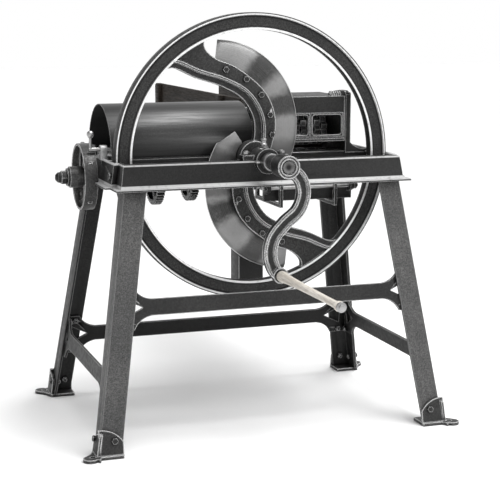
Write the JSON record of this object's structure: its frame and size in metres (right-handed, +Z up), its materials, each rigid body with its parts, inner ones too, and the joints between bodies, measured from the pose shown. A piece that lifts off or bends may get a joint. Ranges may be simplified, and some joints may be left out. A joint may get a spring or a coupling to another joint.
{
  "type": "hand-cranked chaff cutter",
  "caption": "Hand-cranked straw and hay cutter: splayed cast frame, knife flywheel, toothed feed rollers with change gears, rising mouth and long feed trough.",
  "frame": {"origin": "floor level, at the centre of the four floor bolt holes", "axes": "+X to the right as seen from the crank, +Y towards the feed trough along the main shaft, +Z up"},
  "size_m": [1.3912, 2.441, 1.48],
  "materials": {
    "painted_iron": "satin black paint on castings, worn bright on edges",
    "bolt_steel": "bright turned and forged steel",
    "shaft_steel": "turned steel shafting",
    "knife_steel": "ground and polished blade steel",
    "gear_iron": "bare greased cast iron with bright tooth flanks",
    "cover_sheet": "satin grey painted sheet",
    "bush_brass": "bronze bushes",
    "oak_boards": "oiled boards",
    "grip_wood": "turned pale ash",
    "roller_iron": "cast toothed discs"
  },
  "bodies": {
    "frame": {"front_bar": "painted_iron", "rear_bar": "painted_iron", "left_side_bar": "painted_iron", "right_side_bar": "painted_iron", "mid_bar": "painted_iron", "leg_front_left": "painted_iron", "leg_front_right": "painted_iron", "leg_rear_left": "painted_iron", "leg_rear_right": "painted_iron", "foot_front_left": "painted_iron", "foot_front_right": "painted_iron", "foot_rear_left": "painted_iron", "foot_rear_right": "painted_iron", "stretcher_front": "painted_iron", "stretcher_rear": "painted_iron", "stretcher_left": "painted_iron", "stretcher_right": "painted_iron", "frame_bolts": "bolt_steel", "stretcher_bolts": "bolt_steel", "front_bearing_cap": "painted_iron", "cap_bolts": "bolt_steel", "oil_cup": "bolt_steel", "rear_bearing": "painted_iron", "bearing_bushes": "bush_brass", "ledger_plate": "knife_steel", "left_cheek": "painted_iron", "right_cheek": "painted_iron", "fulcrum_rod": "shaft_steel", "fulcrum_nuts": "bolt_steel", "trough": "oak_boards", "trough_stays": "painted_iron", "gear_cover": "cover_sheet"},
    "wheel": {"main_shaft": "shaft_steel", "flywheel": "painted_iron", "knife_upper": "knife_steel", "knife_lower": "knife_steel", "knife_bolts": "bolt_steel", "crank_arm": "painted_iron", "handle_bolt": "bolt_steel", "bevel_pinion": "gear_iron"},
    "grip": {"handle_grip": "grip_wood"},
    "counter": {"countershaft": "shaft_steel", "bevel_wheel": "gear_iron", "slow_pinion": "gear_iron", "fast_pinion": "gear_iron"},
    "lower_feed": {"lower_shaft": "shaft_steel", "lower_roller": "roller_iron", "side_pulley": "painted_iron", "pulley_nut": "bolt_steel", "lower_star_pinion": "gear_iron"},
    "slow_gear": {"slow_gear": "gear_iron"},
    "fast_gear": {"fast_gear": "gear_iron"},
    "clutch": {"clutch_sleeve": "shaft_steel"},
    "shifter": {"shift_rod": "shaft_steel"},
    "jaw": {"upper_jaw": "painted_iron", "link_rods": "bolt_steel"},
    "upper_feed": {"upper_roller": "roller_iron", "upper_star_pinion": "gear_iron"},
    "lever": {"weight_lever": "painted_iron"},
    "weight": {"weight": "painted_iron"}
  },
  "joints": [
    {"name": "flywheel_spin", "type": "hinge", "parent": "frame", "child": "wheel", "pos_m": [0, -0.16, 0.972], "axis": [0, 1, 0], "continuous": true},
    {"name": "handle_spin", "type": "hinge", "parent": "wheel", "child": "grip", "pos_m": [-0.018, -0.755, 0.60244], "axis": [0, 1, 0], "continuous": true},
    {"name": "counter_spin", "type": "hinge", "parent": "frame", "child": "counter", "pos_m": [-0.2, 0.15971, 0.972], "axis": [1, 0, 0], "continuous": true},
    {"name": "lower_feed_spin", "type": "hinge", "parent": "frame", "child": "lower_feed", "pos_m": [0.2, 0.035, 0.9], "axis": [1, 0, 0], "continuous": true},
    {"name": "slow_gear_spin", "type": "hinge", "parent": "frame", "child": "slow_gear", "pos_m": [-0.31, 0.035, 0.9], "axis": [1, 0, 0], "continuous": true},
    {"name": "fast_gear_spin", "type": "hinge", "parent": "frame", "child": "fast_gear", "pos_m": [-0.18, 0.035, 0.9], "axis": [1, 0, 0], "continuous": true},
    {"name": "shift_slide", "type": "slide", "parent": "frame", "child": "shifter", "axis": [1, 0, 0], "range_m": [0, 0.024]},
    {"name": "clutch_slide", "type": "slide", "parent": "lower_feed", "child": "clutch", "axis": [1, 0, 0], "range_m": [0, 0.024]},
    {"name": "jaw_lift", "type": "slide", "parent": "frame", "child": "jaw", "axis": [0, 0, 1], "range_m": [0, 0.028]},
    {"name": "upper_feed_spin", "type": "hinge", "parent": "jaw", "child": "upper_feed", "pos_m": [0.225, 0.035, 1.048], "axis": [1, 0, 0], "continuous": true},
    {"name": "weight_lever_tilt", "type": "hinge", "parent": "frame", "child": "lever", "pos_m": [0.225, -0.129, 0.85], "axis": [1, 0, 0], "range_deg": [0, 6.23]},
    {"name": "weight_swing", "type": "hinge", "parent": "lever", "child": "weight", "pos_m": [0.119, 0.255, 0.85], "axis": [1, 0, 0], "range_deg": [-6.5, 0]}
  ],
  "couplings": [
    {"joint": "counter_spin", "follows": "flywheel_spin", "ratio": -0.33333},
    {"joint": "lower_feed_spin", "follows": "flywheel_spin", "ratio": 0.11111},
    {"joint": "slow_gear_spin", "follows": "flywheel_spin", "ratio": 0.11111},
    {"joint": "fast_gear_spin", "follows": "flywheel_spin", "ratio": 0.15152},
    {"joint": "upper_feed_spin", "follows": "flywheel_spin", "ratio": -0.11111},
    {"joint": "clutch_slide", "follows": "shift_slide", "ratio": 1},
    {"joint": "weight_lever_tilt", "follows": "jaw_lift", "rad_per_m": 3.876},
    {"joint": "weight_swing", "follows": "jaw_lift", "rad_per_m": -3.876}
  ]
}
